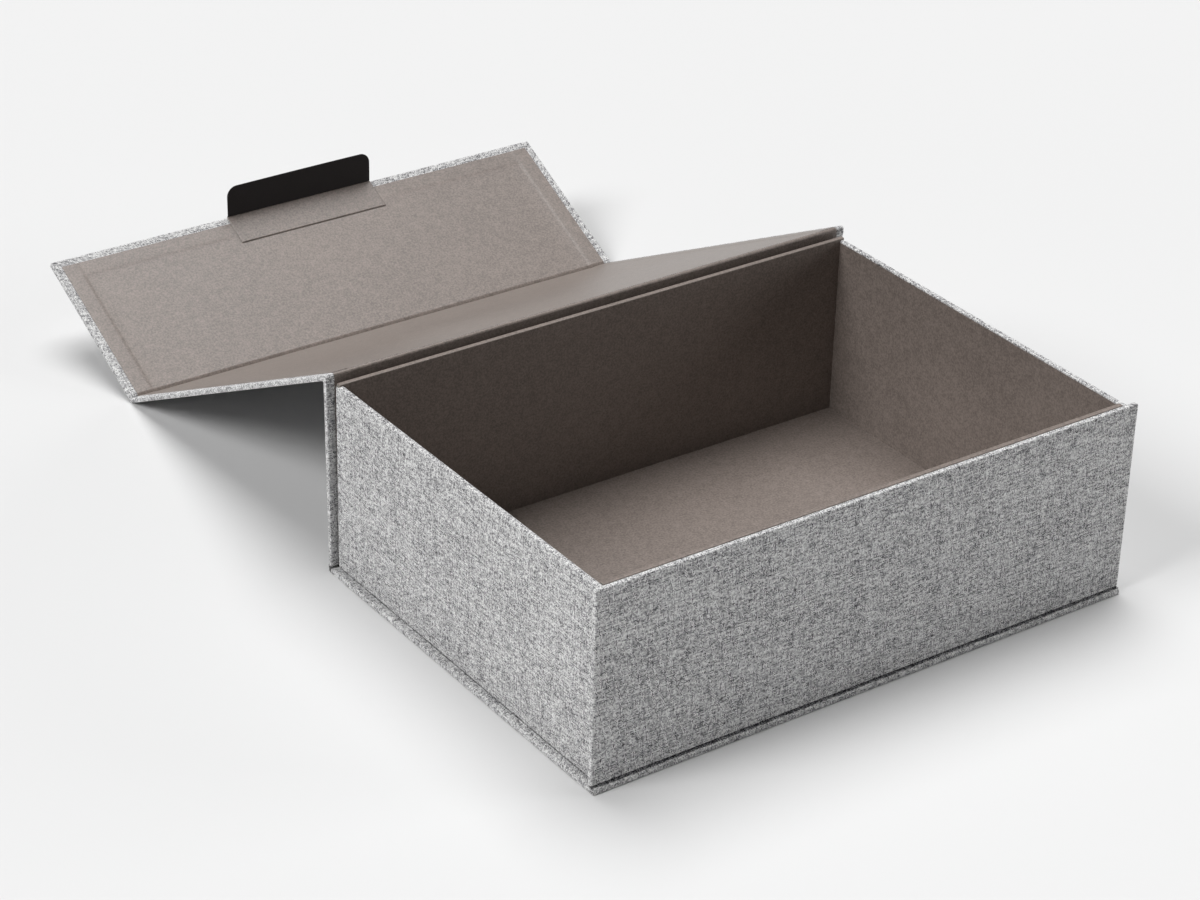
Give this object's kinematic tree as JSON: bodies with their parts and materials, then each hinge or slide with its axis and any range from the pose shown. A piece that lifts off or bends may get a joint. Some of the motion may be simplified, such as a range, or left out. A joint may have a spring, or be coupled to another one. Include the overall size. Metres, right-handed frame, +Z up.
{
  "type": "archival box",
  "caption": "Cloth-covered hinged storage box with a paper-lined tray, a folded-back lid, a fore-edge flap and a small closure tab.",
  "frame": {"origin": "centre of the underside of the base, on the table", "axes": "+X along the front edge to the right, +Y from the front panel to the spine, +Z up"},
  "size_m": [0.335, 0.5581, 0.1155],
  "materials": {
    "bookcloth": "matt woven linen, white and charcoal threads",
    "lining_paper": "matt taupe paper with a fine mottle",
    "greyboard": "matt",
    "tab_card": "matt black card",
    "plated_steel": "plated",
    "adhesive_tape": "matt tape"
  },
  "bodies": {
    "case": {"base_board": "greyboard", "base_cloth": "bookcloth", "front_board": "greyboard", "front_cloth": "bookcloth", "front_liner": "lining_paper", "front_joint_cloth": "bookcloth", "front_steel_discs": "plated_steel", "spine_board": "greyboard", "spine_cloth": "bookcloth", "spine_liner": "lining_paper", "spine_joint_cloth": "bookcloth", "tray_floor_board": "greyboard", "tray_floor_liner": "lining_paper", "left_wall_board": "greyboard", "left_wall_cloth": "bookcloth", "left_wall_liner": "lining_paper", "right_wall_board": "greyboard", "right_wall_cloth": "bookcloth", "right_wall_liner": "lining_paper", "back_wall_board": "greyboard", "back_wall_liner": "lining_paper", "inner_front_wall_board": "greyboard", "inner_front_wall_liner": "lining_paper", "front_adhesive_strips": "adhesive_tape", "back_adhesive_strip": "adhesive_tape", "lid_hinge_cloth": "bookcloth", "lid_hinge_liner": "lining_paper"},
    "lid": {"lid_board": "greyboard", "lid_cloth": "bookcloth", "lid_liner": "lining_paper", "flap_hinge_cloth": "bookcloth", "flap_hinge_liner": "lining_paper"},
    "flap": {"flap_board": "greyboard", "flap_cloth": "bookcloth", "flap_liner": "lining_paper", "flap_magnets": "plated_steel", "tab_root": "tab_card", "tab_patch": "lining_paper"},
    "tab": {"tab_leaf": "tab_card"}
  },
  "joints": [
    {"name": "lid_hinge", "type": "hinge", "parent": "case", "child": "lid", "pos_m": [0, 0.1228, 0.114], "axis": [1, 0, 0], "range_deg": [0, 207.21], "deforming": ["lid_hinge_cloth", "lid_hinge_liner"]},
    {"name": "flap_fold", "type": "hinge", "parent": "lid", "child": "flap", "pos_m": [0, 0.34158, 0.00153], "axis": [1, 0, 0], "range_deg": [-53.21, 36.79], "deforming": ["flap_hinge_cloth", "flap_hinge_liner"]},
    {"name": "tab_crease", "type": "hinge", "parent": "flap", "child": "tab", "pos_m": [0, 0.43611, 0.05044], "axis": [1, 0, 0], "range_deg": [-64, 116]}
  ]
}
